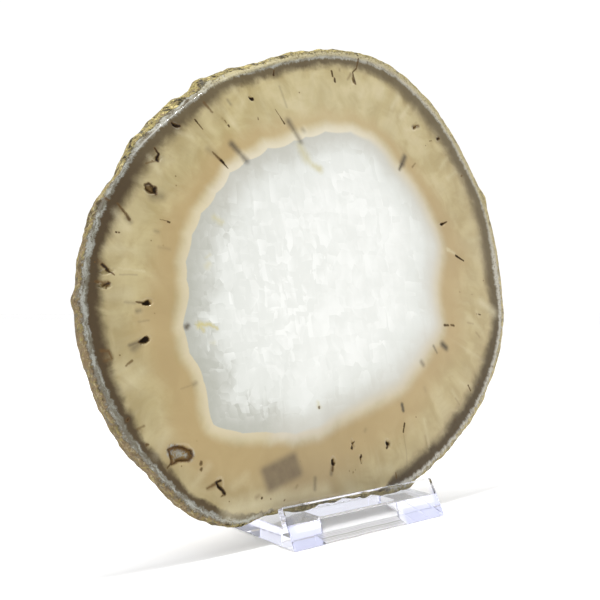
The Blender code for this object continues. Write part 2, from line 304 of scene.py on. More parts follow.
def closedCurve(points, angles):
    # Smooth closed curve through (degrees, value) points: cubic pieces whose slope at each point is the
    # chord of its two neighbours
    at, value = np.array(points, float).T
    before, after = np.roll(at, 1), np.roll(at, -1)
    before[0] -= 360.0
    after[-1] += 360.0
    slope = (np.roll(value, -1) - np.roll(value, 1)) / (after - before)
    angles = np.mod(angles, 360.0)
    left = (np.searchsorted(at, angles, side="right") - 1) % len(at)
    right = (left + 1) % len(at)
    span = np.mod(at[right] - at[left], 360.0)
    t = np.mod(angles - at[left], 360.0) / span
    rise = (value[left] * (1 + 2 * t) + slope[left] * span * t) * (1 - t) ** 2
    fall = (value[right] * (3 - 2 * t) - slope[right] * span * (1 - t)) * t ** 2
    return rise + fall


def turnsApart(angles, at):
    # Degrees from one angle to another, the short way round
    return np.mod(angles - at + 180.0, 360.0) - 180.0


def latticeNoise(points, size, seed):
    # Smooth bumps between -1 and 1: seeded numbers on a cubic lattice, blended between its corners.
    # The lattice repeats, and starts far enough off for every point to lie on its positive side.
    lattice, origin = 32, -200.0
    table = np.random.default_rng(seed).uniform(-1.0, 1.0, (lattice, lattice, lattice))
    spots = (points - origin) / size
    cell = np.floor(spots).astype(int)
    part = spots - cell
    blend = part * part * (3.0 - 2.0 * part)
    total = 0.0
    for corner in itertools.product((0, 1), repeat=3):
        weight = 1.0
        for axis, side in enumerate(corner):
            weight = weight * (blend[..., axis] if side else 1.0 - blend[..., axis])
        at = (cell + corner) % lattice
        total = total + weight * table[at[..., 0], at[..., 1], at[..., 2]]
    return total


def onSlice(radius, depth, turn):
    # Points at a radius, a depth into the stone and an angle
    return np.stack([radius * np.cos(turn), depth, radius * np.sin(turn)], -1)


def turnPoints(count):
    # Angles round the slice, set closer together where a hollow needs finer facets
    step, closer, narrowest, spread = 0.05, 0.9, 2.0, 0.75
    fine = np.arange(0, 360, step)
    density = np.ones_like(fine)
    for degrees, radius, length, width, depth, turn in hollows:
        reach = math.degrees(max(width, narrowest) / radius) * spread
        density += closer * np.exp(-(turnsApart(fine, degrees) / reach) ** 2)
    total = np.concatenate([[0], np.cumsum(density)])
    return np.interp(np.arange(count) * total[-1] / count, total, np.arange(len(total)) * step)


def rimSurface(angles, along):
    # The rim as a function of angle and of place along its section (0 front edge, 1 back edge):
    # radius = outline + spread * depth - inset + lumps and knobs, with the insets joined by a smooth curve
    outline, spread, skin = (closedCurve(table, angles) for table in (faceOutline, rimSpread, skinWidth))
    knobs = sum(height * np.exp(-(turnsApart(angles, at) / width) ** 2) for at, height, width in rimKnobs)
    shares, insets, lumpiness = zip(*rimRings)
    insets = np.array([skin if inset is None else np.full_like(skin, inset) for inset in insets])
    place = np.asarray(along) * (len(shares) - 1)
    low = np.minimum(place.astype(int), len(shares) - 2)
    part = place - low

    def through(values):
        # Catmull-Rom curve through the ring values
        padded = np.concatenate([values[:1] * 2 - values[1:2], values, values[-1:] * 2 - values[-2:-1]])
        a, b, c, d = (padded[low + k] for k in range(4))
        t = part.reshape(-1, *([1] * (values.ndim - 1)))
        return 0.5 * (2 * b + (c - a) * t + (2 * a - 5 * b + 4 * c - d) * t ** 2
                      + (3 * b - a - 3 * c + d) * t ** 3)

    depth = through(np.array(shares))[:, None] * stoneShape["thickness"] + 0 * angles
    radius = outline + spread * depth - through(insets)
    spots = onSlice(radius, depth, np.radians(angles))
    lumps = sum(height * latticeNoise(spots, size, seed) for size, height, seed in stoneShape["lumps"])
    return radius + through(np.array(lumpiness))[:, None] * (lumps + knobs), depth


def crustGrain(spots, along):
    # mm that the rim stands out: fine grain less small pocks, fading to nothing at the two edges
    grain = sum(share * latticeNoise(spots, size, seed) for size, share, seed in stoneShape["grain"])
    whole = sum(share for size, share, seed in stoneShape["grain"])
    size, level, seed = stoneShape["pocks"]
    pocks = np.clip(latticeNoise(spots, size, seed) - level, 0, 1)
    height = grain / whole - stoneShape["grainSink"] - stoneShape["pockDepth"] * pocks
    fade = np.clip(np.minimum(along, 1 - along) * stoneShape["edgeFade"], 0, 1)[:, None]
    return fade * stoneShape["grainHeight"] * height


def faceRings(spans, edge):
    # Radii of a face's rings, which are its edge shrunk towards the middle, without the edge itself
    return np.concatenate([np.linspace(*span) for span in spans])[:-1, None] * edge


def stoneSurface():
    # The whole slice as rings of points: middle of the polished face, out over the rim, in over the back
    angles = turnPoints(stoneShape["turns"])
    turn = np.radians(angles)
    along = np.linspace(0, 1, stoneShape["rimRings"]) ** stoneShape["rimBias"]
    rimRadius, rimDepth = rimSurface(angles, along)
    rimRadius = rimRadius + crustGrain(onSlice(rimRadius, rimDepth, turn), along)
    front = faceRings(stoneShape["frontRings"], rimRadius[0])
    back = faceRings(stoneShape["backRings"], rimRadius[-1])[::-1]
    radius = np.concatenate([front, rimRadius, back])
    depth = np.concatenate([np.zeros_like(front), rimDepth, np.full_like(back, stoneShape["thickness"])])
    points = onSlice(radius, depth, turn)
    x, z = points[:len(front), :, 0], points[:len(front), :, 2]
    sunk = np.zeros_like(radius)
    for degrees, out, length, width, deep, swing in hollows:
        # A hollow is half a ball pressed in: depth = deep * sqrt(1 - how far out, squared)
        at, way = math.radians(degrees), math.radians(degrees + swing)
        dx, dz = x - out * math.cos(at), z - out * math.sin(at)
        across = (dx * math.cos(way) + dz * math.sin(way)) / (length / 2)
        beside = (dz * math.cos(way) - dx * math.sin(way)) / (width / 2)
        ball = deep * np.sqrt(np.clip(1.0 - across ** 2 - beside ** 2, 0, 1))
        sunk[:len(front)] = np.maximum(sunk[:len(front)], ball)
    points[..., 1] += sunk
    return angles, points, len(front), sunk


def slopeShare(values, angles):
    # cos of the angle between a curve r(angle) and a circle, which turns a radial gap into a true one
    step = np.gradient(np.unwrap(np.radians(angles)))
    rise = (np.roll(values, -1) - np.roll(values, 1)) / (2 * step)
    return 1.0 / np.sqrt(1.0 + (rise / values) ** 2)


def scallops(angles):
    # Between two cusps the quartz line bows inwards by h * 4t(1 - t), h growing with the gap
    cusps = np.array(quartzCusps, float)
    index = np.clip(np.searchsorted(cusps, angles, side="right") - 1, 0, len(cusps) - 2)
    gap = cusps[index + 1] - cusps[index]
    t = np.clip((angles - cusps[index]) / gap, 0, 1)
    bow = -stoneShape["scallopDepth"] * gap * 4 * t * (1 - t)
    return np.where((angles > cusps[0]) & (angles < cusps[-1]), bow, 0.0)


def placeStone(points):
    # Slice's own mm (x along, y into the stone, z up the face) to metres in the frame, kept in the CAD's box
    cos, sin = math.cos(stoneShape["lean"]), math.sin(stoneShape["lean"])
    x, y, z = points.T
    metres = (np.stack([x, y * cos + z * sin, z * cos - y * sin], -1) + np.array(stoneShape["middle"])) * mm
    gap = 0.01 * mm
    return np.clip(metres, np.array(cadBox[0]) + gap, np.array(cadBox[1]) - gap)


def gridFaces(rows, count):
    # Point numbers of a grid of rings, and the four corners of each of its faces
    here = np.arange(rows * count).reshape(rows, count)
    ahead = np.roll(here, -1, axis=1)
    return here, ahead, np.stack([here[:-1], here[1:], ahead[1:], ahead[:-1]], -1).reshape(-1, 4)


def storeLayer(mesh, name, values, domain="POINT"):
    # One number or one vector for each point or face
    kind, field = ("FLOAT", "value") if values.ndim == 1 else ("FLOAT_VECTOR", "vector")
    mesh.attributes.new(name, kind, domain).data.foreach_set(field, values.astype(np.float32).ravel())


def buildStone():
    angles, points, faceRows, sunk = stoneSurface()
    rows, count = points.shape[:2]
    vertices = np.concatenate([points.reshape(-1, 3), [[0, 0, 0], [0, stoneShape["thickness"], 0]]])
    here, ahead, quads = gridFaces(rows, count)
    firstFan = np.stack([np.full(count, rows * count), here[0], ahead[0]], -1)
    lastFan = np.stack([np.full(count, rows * count + 1), ahead[-1], here[-1]], -1)
    corners = np.concatenate([quads.ravel(), firstFan.ravel(), lastFan.ravel()])
    sizes = np.concatenate([np.full(len(quads), 4), np.full(2 * count, 3)])
    mesh = bpy.data.meshes.new("agateStone")
    mesh.vertices.add(len(vertices))
    mesh.loops.add(len(corners))
    mesh.polygons.add(len(sizes))
    mesh.vertices.foreach_set("co", placeStone(vertices).ravel().astype(np.float32))
    mesh.loops.foreach_set("vertex_index", corners.astype(np.int32))
    mesh.polygons.foreach_set("loop_start", (np.cumsum(sizes) - sizes).astype(np.int32))
    mesh.update(calc_edges=True)
    mesh.validate()

    # mm from each point to the polished edge, with the depth in its place on the rim, and to the quartz line
    radius = np.hypot(points[..., 0], points[..., 2])
    backRow = faceRows + stoneShape["rimRings"]
    frontEdge, backEdge = radius[faceRows], radius[backRow - 1]
    row = np.arange(rows)[:, None]
    fromEdge = (np.where(row >= backRow, backEdge, frontEdge) - radius) * slopeShare(frontEdge, angles)
    plainLine = closedCurve(quartzLine, angles)
    crispAt, crispReach = stoneShape["crispEdge"]
    fields = {
        "fromEdge": np.where((row >= faceRows) & (row < backRow), -points[..., 1] - 0.01, fromEdge),
        "fromQuartz": (radius - plainLine - scallops(angles)) * slopeShare(plainLine, angles),
        "sunk": sunk,
        "crispEdge": np.exp(-((angles - crispAt) / crispReach) ** 4),
    }
    fields.update((name, closedCurve(table, angles)) for name, table in bandCurves.items())
    for name, values in fields.items():
        values = np.broadcast_to(values, radius.shape).ravel()
        storeLayer(mesh, name, np.concatenate([values, [middleValues.get(name, 0.0)] * 2]))
    storeLayer(mesh, "stonePlace", vertices)

    # Marks show in full on the front, less on the back, and reach a few rings over the rim
    triangles = np.concatenate([firstFan, lastFan])[:, [0, 1, 2, 2]]
    centres = vertices[np.concatenate([quads, triangles])].mean(1)
    order = np.arange(len(sizes))
    frontOver, backOver = stoneShape["marksOver"]
    inFirstFan = (order >= len(quads)) & (order < len(quads) + count)
    onFront = (order < (faceRows + frontOver) * count) | inFirstFan
    onBack = order >= (backRow - backOver) * count
    shown = np.where(onFront, 1.0, np.where(onBack, stoneShape["backMarks"], 0.0))
    for name, (marks, slots) in strokeKinds.items():
        storeStrokes(mesh, centres[:, [0, 2]], shown, name, marks, slots)
    mesh.polygons.foreach_set("use_smooth", np.ones(len(sizes), bool))
    stone = bpy.data.objects.new("agateStone", mesh)
    scene.collection.objects.link(stone)
    mesh.set_sharp_from_angle(angle=stoneShape["sharpFrom"])
    print("stone:", len(vertices), "points,", int(sizes.sum() - 2 * len(sizes)), "triangles")
    return stone


faceLight = 1.19             # how bright a white face looks in this scene's light
# Colours of the stone as seen in that light, 0 to 255
stoneColours = {
    "beigeLight": (205, 190, 143), "beigeDeep": (186, 169, 118), "tan": (187, 162, 113),
    "rosy": (192, 174, 145), "cream": (230, 222, 202), "creamLeft": (222, 210, 177), "darkBand": (74, 58, 33),
    "darkBandCool": (90, 79, 60), "greyBand": (122, 118, 103), "greyBandLight": (166, 167, 158),
    "paleBand": (202, 191, 164), "paleBandLow": (200, 195, 181), "coolBand": (170, 168, 156),
    "goldRim": (188, 176, 132), "quartzEdge": (177, 178, 167), "quartzEdgeRight": (216, 213, 203),
    "quartzDeep": (227, 229, 223), "quartzBright": (250, 251, 247), "crustGold": (158, 145, 90),
    "crustBrown": (138, 119, 90), "crustPale": (200, 184, 138), "crustFleck": (228, 216, 178),
    "crustYellow": (246, 230, 150), "crustPitShade": (44, 36, 22), "mark": (36, 24, 10), "markBrown": (98, 70, 30),
    "markGrey": (90, 80, 64), "palePatch": (222, 212, 178), "vugFloor": (150, 126, 82),
    "yellowStain": (206, 196, 140), "glint": (208, 209, 203), "labelShade": (112, 98, 78),
}
stoneColours = {name: tone(*seen, light=1 / faceLight) for name, seen in stoneColours.items()}

# Patterns in the stone: how many to the mm, octaves, roughness, warp
stonePatterns = {
    "wave": (0.30, 3, 0.6), "teeth": (0.75, 3, 0.65), "fineTeeth": (1.3, 2, 0.6), "comb": (1.1, 2, 0.6),
    "clouds": (0.11, 4, 0.55, 0.6), "darkPatches": (0.5, 3, 0.6), "streaks": (1.0, 4, 0.65),
    "haze": (0.16, 4, 0.55, 0.5), "wearAndShade": (0.7, 3, 0.6),
    "crustLine": (0.9, 3, 0.6), "crustGrains": (0.8, 5, 0.7, 0.5), "crustSand": (2.4, 4, 0.7),
}
# Spots where a pattern is high or low: the pattern, two levels of it, and how strong the spots are at each
stoneSpots = {
    "fans": ((0.16, 3, 0.6, 0.8), (0.54, 0.80, 0.0, 0.30)),
    "threads": ((0.9, 3, 0.6), (0.25, 0.75, 0.06, 0.0)),
    "rings": ((0.9, 3, 0.7), (0.3, 0.7, 0.0, 0.10)),
    "specks": ((1.15, 3, 0.7), (0.34, 0.43, 0.85, 0.0)),
    "flashes": ((1.7, 3, 0.6), (0.60, 0.70, 0.0, 0.8)),
    "vugGrains": ((1.1, 4, 0.7), (0.42, 0.56)),
    "crustFlecks": ((0.85, 5, 0.8), (0.53, 0.62, 0.0, 0.9)),
    "crustHollows": ((0.34, 5, 0.8), (0.42, 0.50, 0.95, 0.0)),
    "crustPits": ((1.5, 3, 0.7), (0.36, 0.43, 0.7, 0.0)),
    "crustStreaks": ((0.42, 4, 0.7), (0.54, 0.62, 0.0, 0.6)),
}
stoneFinish = {
    "tanStrength": 0.85,
    "paleMarkStrength": 0.65,
    "patchSize": 0.11,                   # patches in the beige, to the mm
    "pitSize": 0.20,                     # small pits, to the mm
    "facetSizes": (0.11, 0.19, 0.34),    # large, small and tiny crystals in the quartz, to the mm
    "facetStretch": (1.10, 1.0, 0.90),
    "facetBend": 4.0,                    # mm that their edges are bent
    "hazeStrength": 0.7,                 # clouds among the crystals
    "low": (0.15, 0.12, 0.085, 1.0),     # painted shade: what darkens the beige at the foot and left of the slice and near the rim
    "relief": 0.6 * mm,                  # height of the crust's bumps
    "dullRoughness": 0.85,
    "polishRoughness": 0.45,
    "specular": 0.15,
    "ior": 1.54,
    "coatRoughness": 0.06,
}
# The label's shadow, painted soft on the front face where it shows through the stone: its outline as mm along
# and up the face, degrees
labelShadow = {"middle": (-28.7, -62.3, 0.0), "turn": 14.5, "side": (5.2, 8.4), "end": (2.3, 5.0)}

# Marks in the face, as degrees and mm at each end, half width in mm at each end, softness in mm, strength
darkMarks = (
    (2.6, 66.4, 4.4, 62.6, 0.25, 0.45, 0.2, 1), (16.4, 63.2, 16.1, 59.9, 0.1, 0.5, 0.25, 1),
    (38.6, 81.9, 38.9, 80.7, 0.5, 0.5, 0.3, 0.9), (39.8, 77.4, 40.2, 76.2, 0.15, 0.2, 0.25, 0.55),
    (45.9, 76.4, 46.3, 74.6, 0.1, 0.2, 0.3, 0.7), (26.7, 82.7, 26.7, 82, 0.3, 0.3, 0.3, 0.5),
    (70.4, 81.2, 70.6, 76.6, 0.25, 0.2, 0.25, 0.7), (70.6, 76.6, 71.7, 74.2, 0.2, 0.25, 0.2, 0.75),
    (71.7, 74.2, 70.2, 70.4, 0.25, 0.4, 0.25, 0.75), (77.9, 67.9, 77.8, 66.8, 0.35, 0.45, 0.25, 0.9),
    (79.1, 70.3, 78.7, 68.5, 0.35, 0.4, 0.25, 0.85), (100.7, 65.5, 101.4, 63.9, 0.2, 0.35, 0.2, 0.85),
    (105.2, 52.5, 104.2, 50, 0.12, 0.15, 0.2, 0.6), (104.2, 50, 103.1, 47.4, 0.15, 0.3, 0.2, 0.8),
    (113.9, 58.1, 113, 57.3, 0.35, 0.6, 0.2, 1), (114.3, 51.3, 114.6, 50.7, 0.15, 0.2, 0.2, 0.6),
    (127.7, 55.4, 127.7, 54.6, 0.2, 0.15, 0.2, 0.5), (127.7, 53.6, 127.7, 53.3, 0.3, 0.3, 0.2, 0.8),
    (136.3, 61.5, 136.6, 58, 0.28, 0.1, 0.2, 0.85), (140.2, 51.5, 140.3, 48, 0.15, 0.5, 0.35, 0.8),
    (140.3, 48, 140.7, 45, 0.5, 0.12, 0.2, 1), (142.5, 65.9, 141.5, 63.9, 0.55, 0.35, 0.25, 1),
    (151.6, 67, 152.4, 65.4, 0.25, 0.4, 0.2, 0.9), (152.4, 65.4, 154.2, 64.9, 0.4, 0.5, 0.25, 1),
    (154.2, 65, 156.6, 67.8, 0.3, 0.15, 0.3, 0.45), (161.7, 63.4, 163.1, 62.9, 0.65, 0.35, 0.4, 1),
    (168.6, 73.4, 170.6, 70.6, 0.18, 0.35, 0.35, 0.75), (168.2, 77.1, 168.4, 76, 0.3, 0.2, 0.3, 0.7),
    (170.6, 70.6, 171.5, 69.8, 0.35, 0.45, 0.35, 0.7), (174.9, 73.5, 174.9, 73.4, 0.25, 0.25, 0.15, 0.9),
    (174.9, 72.7, 174.9, 72.6, 0.22, 0.22, 0.15, 0.8), (169.6, 60.6, 169.6, 58.4, 0.08, 0.15, 0.2, 0.5),
    (169.7, 58.2, 169.7, 57.6, 0.25, 0.2, 0.2, 0.9), (181.9, 78, 184, 75, 0.5, 0.08, 0.25, 0.95),
    (185.9, 78.6, 185.6, 77, 0.2, 0.45, 0.25, 0.85), (185.6, 77, 186.6, 78, 0.3, 0.1, 0.25, 0.7),
    (190.9, 68.4, 190.9, 66.9, 0.3, 0.75, 0.22, 1), (190.2, 70.4, 190.8, 68.2, 0.2, 0.3, 0.25, 0.8),
    (198.5, 73.4, 198.5, 71.2, 0.25, 0.75, 0.3, 1), (198.5, 71.2, 198.5, 70.9, 0.85, 0.8, 0.2, 1),
    (201.6, 79.6, 201.3, 77.4, 0.2, 0.35, 0.25, 0.5), (185, 80.6, 185.3, 79.8, 0.3, 0.2, 0.3, 0.6),
    (225.9, 79, 225.8, 78.6, 0.4, 0.35, 0.3, 0.75), (226.6, 80.2, 226.6, 79.9, 0.35, 0.3, 0.3, 0.7),
    (229.6, 83.2, 230.9, 80.3, 0.15, 0.4, 0.45, 0.6), (230.9, 80.3, 233.4, 81.6, 0.55, 0.45, 0.3, 1),
    (230.9, 80.3, 231.5, 79.2, 0.4, 0.3, 0.25, 0.9), (233.4, 81.6, 233, 82.8, 0.35, 0.1, 0.3, 0.7),
    (241.8, 77.8, 241.8, 77.6, 0.3, 0.3, 0.2, 0.85), (247.4, 76.2, 247.6, 75.8, 0.2, 0.2, 0.2, 0.5),
    (255.8, 75, 255.6, 74.7, 0.4, 0.4, 0.2, 0.8), (244, 77, 244, 76.9, 0.2, 0.2, 0.2, 0.5),
    (261.1, 65.2, 261.5, 63.1, 0.25, 0.4, 0.35, 0.7), (261.6, 63, 261.6, 62.2, 0.7, 0.5, 0.2, 1),
    (268.8, 58.7, 270.2, 56.8, 0.45, 0.12, 0.2, 0.95), (271.6, 63.7, 272.1, 61.4, 0.15, 0.35, 0.2, 0.95),
    (282.6, 61.8, 284, 60.9, 0.3, 0.6, 0.25, 0.95), (283.9, 60.9, 283.6, 59.9, 0.65, 0.25, 0.2, 1),
    (291.3, 60.2, 293.3, 58.2, 0.25, 0.35, 0.2, 0.85), (282.7, 71.8, 283, 70.3, 0.35, 0.2, 0.3, 0.6),
    (322.3, 73.7, 323.1, 71.9, 0.25, 0.3, 0.25, 0.75), (346, 73, 346, 72, 0.2, 0.25, 0.2, 0.8),
    (338.8, 59, 338.5, 57.6, 0.35, 0.3, 0.35, 0.75), (337.9, 56.4, 337.2, 54.4, 0.25, 0.4, 0.35, 0.85),
    (255.2, 46.9, 255.2, 46.7, 0.35, 0.35, 0.25, 0.75), (268.2, 66.1, 268.3, 65.9, 0.2, 0.2, 0.2, 0.45),
    (267, 65.5, 267, 65.4, 0.15, 0.15, 0.2, 0.45), (269.2, 65.4, 269.2, 65.3, 0.15, 0.15, 0.2, 0.4),
    (221, 86.2, 221, 84.2, 0.12, 0.3, 0.25, 0.8), (210, 86.6, 209.9, 86.2, 0.35, 0.3, 0.25, 0.8),
    (215.4, 86.3, 215.6, 85.8, 0.3, 0.2, 0.25, 0.7))
brownMarks = (
    (39.1, 62.4, 39, 59.8, 0.2, 0.35, 0.3, 0.6), (72.2, 73.2, 73.1, 70.2, 0.5, 0.3, 0.4, 0.45),
    (129.9, 63.3, 129.7, 59.7, 0.5, 0.35, 0.25, 0.75), (181.2, 78.6, 183.2, 76, 0.7, 0.4, 0.6, 0.5),
    (185.1, 80, 185.6, 77.2, 0.3, 0.7, 0.4, 0.85), (212.3, 85.7, 212.6, 83.8, 0.25, 0.3, 0.3, 0.7),
    (197.4, 84.2, 197.9, 82.4, 0.45, 0.4, 0.45, 0.95), (197.9, 82.4, 199.3, 82.3, 0.45, 0.35, 0.4, 0.95),
    (199.3, 82.3, 199.2, 84.2, 0.35, 0.45, 0.5, 0.8), (198.4, 84, 198.6, 83, 0.8, 0.8, 1, 0.35),
    (45.6, 76.4, 46.8, 73.6, 0.55, 0.8, 0.45, 0.75), (229.8, 83, 231, 80.6, 0.3, 0.6, 0.7, 0.6),
    (108.3, 62.3, 108.3, 61.7, 0.3, 0.3, 0.4, 0.4), (114.5, 62.8, 114.6, 62.1, 0.3, 0.3, 0.4, 0.4),
    (161.9, 65.4, 162.6, 63.2, 0.9, 0.8, 0.6, 0.8), (316, 71.2, 316.5, 68.6, 0.25, 0.2, 0.4, 0.4),
    (339.2, 73, 340, 71, 0.3, 0.3, 0.4, 0.35), (342.4, 69.2, 342, 66.2, 0.2, 0.3, 0.4, 0.35),
    (76.3, 72.6, 76.3, 72, 0.3, 0.3, 0.4, 0.5), (128, 56.5, 127.8, 54.6, 0.3, 0.2, 0.4, 0.35),
    (297.5, 69, 298.5, 66.5, 0.3, 0.2, 0.5, 0.3), (250, 71.8, 250.4, 71, 0.3, 0.3, 0.4, 0.4),
    (240.5, 78.2, 241, 77.4, 0.5, 0.4, 0.5, 0.4))
# Rims of the two open vugs at the left, as mm along and up the face
vugRing = (
    (-64.4, -51.9), (-62.3, -51.3), (-59.7, -51.8), (-57.4, -53), (-57.2, -54.4), (-58.4, -55.4),
    (-61.4, -55.1), (-63.9, -55.8), (-63.6, -53.8))
pitRing = ((-63.2, 20.6), (-62, 21.1), (-60.8, 20.3), (-60.2, 18.8), (-61.2, 19), (-62.6, 19.8))
greyMarks = (
    (43.6, 59.8, 42.9, 56.5, 0.9, 1.1, 0.9, 0.9), (42.9, 56.5, 42.4, 53.4, 0.8, 0.4, 0.6, 1),
    (100.7, 48, 99.2, 45.2, 1, 0.7, 1.1, 0.8), (99.2, 45.2, 97, 41.2, 0.6, 0.8, 0.9, 0.65),
    (131.6, 48.6, 131.3, 45.4, 1.1, 0.8, 0.9, 0.85), (131.3, 45.4, 131.1, 42.2, 0.6, 1, 0.9, 0.75),
    (171.2, 70.4, 172, 69.4, 0.7, 0.5, 0.7, 0.6), (199.2, 75.6, 198.6, 72.6, 0.9, 0.7, 0.9, 0.6),
    (94.2, 45.3, 93.8, 45, 0.6, 0.6, 0.8, 0.45), (100.3, 60, 99.6, 53, 0.2, 0.25, 0.5, 0.4),
    (122.1, 60, 122, 58.5, 0.4, 0.4, 0.5, 0.5), (199.6, 58.3, 199.4, 57.7, 0.7, 0.6, 0.6, 0.9),
    (198.4, 76.2, 198.5, 73, 0.45, 0.5, 0.5, 0.75), (192.2, 70.9, 192.2, 70, 0.5, 0.4, 0.6, 0.55),
    (255.6, 71, 255.5, 67.8, 0.45, 0.5, 0.6, 0.6), (260.7, 66.2, 261.2, 63.5, 0.5, 0.6, 0.5, 0.65),
    (295.4, 54.4, 296.2, 52.5, 0.55, 0.55, 0.45, 1), (316.2, 50, 316.5, 48.9, 0.7, 0.7, 0.7, 0.6),
    (325, 53.6, 326.4, 51.3, 0.3, 0.4, 0.45, 0.7), (329.2, 57, 329.5, 55.2, 1, 1.1, 0.9, 0.95),
    (213, 65.2, 213.1, 64.2, 0.4, 0.4, 0.6, 0.45), (140.6, 53.2, 140.3, 50.5, 0.8, 0.6, 1, 0.35),
    # The first stroke on the next line is a painted shadow below the pit at 162.6 degrees
    (163.9, 63.6, 163.2, 61, 1.3, 0.9, 1.2, 0.55), (152.8, 64.2, 153.8, 64.2, 1, 1, 1, 0.25),
    (184, 73.5, 184.2, 68.5, 0.12, 0.15, 0.25, 0.35), (189.8, 73.6, 190.4, 70.8, 0.25, 0.3, 0.4, 0.35),
    (275.4, 54.3, 276, 53.9, 0.5, 0.5, 0.5, 0.25), (194.5, 71.5, 194.8, 68.5, 0.15, 0.25, 0.3, 0.3),
    (211.8, 69, 213.2, 64.6, 0.12, 0.12, 0.3, 0.3), (309, 56, 309.5, 55, 0.4, 0.4, 0.7, 0.2),
    (289.2, 66.8, 291, 61, 0.12, 0.15, 0.3, 0.35), (287.5, 70.5, 289.2, 66.8, 0.15, 0.12, 0.3, 0.35),
    (173, 62, 173.1, 61, 0.4, 0.4, 0.5, 0.35), (177.2, 61, 177.6, 57.5, 0.3, 0.3, 0.5, 0.2))
paleMarks = (
    (236, 85, 247, 75.5, 2.2, 2, 2.2, 0.75), (247, 75.5, 259, 71, 2, 1.6, 2, 0.55),
    (5.2, 62.2, 6.8, 58.9, 0.35, 0.6, 0.6, 0.9), (28.6, 80, 28.4, 74, 0.5, 0.8, 0.9, 0.5),
    (33, 79.5, 32.2, 73, 0.5, 0.5, 0.8, 0.45), (51.2, 79, 52, 72, 0.5, 0.9, 0.8, 0.6),
    (55.2, 79, 56, 72.5, 0.4, 0.7, 0.8, 0.45), (46.8, 73, 48.2, 69.5, 0.5, 0.4, 0.8, 0.4),
    (45, 76.5, 46.2, 72.8, 0.5, 0.5, 0.5, 0.45), (60.5, 77.5, 61.5, 71, 0.4, 0.9, 1, 0.4),
    (9, 79, 8.6, 72, 0.7, 0.5, 1, 0.35), (182.6, 73.5, 183.6, 66, 0.1, 0.25, 0.3, 0.45),
    (348, 80.5, 350, 73.5, 1.6, 1, 1.6, 0.85), (341, 74, 344, 66, 0.6, 1, 1.3, 0.35),
    (345.5, 72, 346.5, 70.5, 0.6, 0.6, 0.7, 0.4), (323.5, 72.5, 322, 68, 0.5, 0.5, 1, 0.35),
    (298, 70, 301.5, 62, 0.4, 0.3, 0.7, 0.45), (316.8, 69.5, 317.5, 66, 0.5, 0.6, 0.8, 0.4),
    (218, 86, 216.5, 80, 0.8, 1.4, 1.5, 0.4), (227, 85, 227.5, 78, 0.5, 0.9, 1, 0.35),
    (170.5, 74, 173.5, 70, 0.8, 0.9, 1, 0.4), (154.5, 67.4, 156.8, 63.5, 0.6, 0.8, 1, 0.45),
    (143.5, 63.5, 141.5, 59, 0.5, 0.5, 1, 0.4), (118, 62.5, 117, 57.5, 0.6, 0.6, 1, 0.35),
    (86, 66, 87.5, 56, 0.8, 0.9, 1.2, 0.3), (66, 74.5, 68, 66, 0.7, 0.9, 1.2, 0.35),
    (188, 78, 188.4, 72, 1.2, 1.4, 1.5, 0.35), (205, 83, 204, 76, 1.2, 1.2, 1.6, 0.35),
    (234.5, 79, 236.5, 74, 0.7, 0.9, 1.2, 0.3), (178.5, 76, 178.5, 68.5, 1, 1, 1.2, 0.35))
yellowMarks = (
    (98, 39.6, 95.7, 35.4, 1, 1.5, 1.5, 0.55), (95.7, 35.4, 92.4, 33.2, 1.3, 0.7, 1.2, 0.55),
    (92.4, 33.2, 87.2, 32.2, 0.7, 1.2, 1, 0.65), (200.6, 54.6, 201.6, 51.2, 0.8, 0.5, 0.6, 0.95),
    (201.6, 51.2, 204, 49.4, 0.45, 0.3, 0.5, 0.95), (200.6, 54.4, 202.6, 53.6, 0.6, 0.5, 0.5, 0.8),
    (163.2, 43.5, 163.8, 40.8, 0.8, 0.6, 0.8, 0.55), (165, 42, 164.6, 41, 0.4, 0.4, 0.6, 0.4),
    (182.6, 46.2, 181.8, 45.4, 0.6, 0.6, 0.8, 0.45), (179.4, 46, 178.2, 44.6, 0.25, 0.2, 0.5, 0.4),
    (207.2, 53.2, 207.6, 52.4, 0.4, 0.4, 0.6, 0.3), (255.2, 46.8, 254.6, 45.6, 0.7, 0.5, 0.6, 0.45))


def strokeGroup():
    # One soft stroke: how far the point lies from a line, against a half width that changes along it
    group = bpy.data.node_groups.new("softStroke", "ShaderNodeTree")
    for name, kind in (("Place", "Vector"), ("From", "Vector"), ("Run", "Vector"), ("Brush", "Vector"),
                       ("Strength", "Float"), ("Before", "Float")):
        group.interface.new_socket(name, in_out="INPUT", socket_type="NodeSocket" + kind)
    group.interface.new_socket("Mask", in_out="OUTPUT", socket_type="NodeSocketFloat")
    given = group.nodes.new("NodeGroupInput").outputs
    place, begin, run, brush, strength, before = (Wire(socket) for socket in given[:6])
    reach = place - begin
    share = limited(dot(reach, run) / dot(run, run))
    gap = sums("DISTANCE", reach, run * share)
    halfWidth, widening, sharpness = parted(brush)
    inside = (gap - (share * widening + halfWidth)) * sharpness
    mask = sums("MAXIMUM", ranged(inside, -1.0, 1.0, 1.0, 0.0) * strength, before)
    setInputs(group.nodes.new("NodeGroupOutput"), {"Mask": mask})
    return group


# How much wider a stroke's softness is drawn, the shortest one, and mm at which a face lets go of it
strokeRules = {"softer": 1.35, "shortest": 0.01, "reach": 1.6}


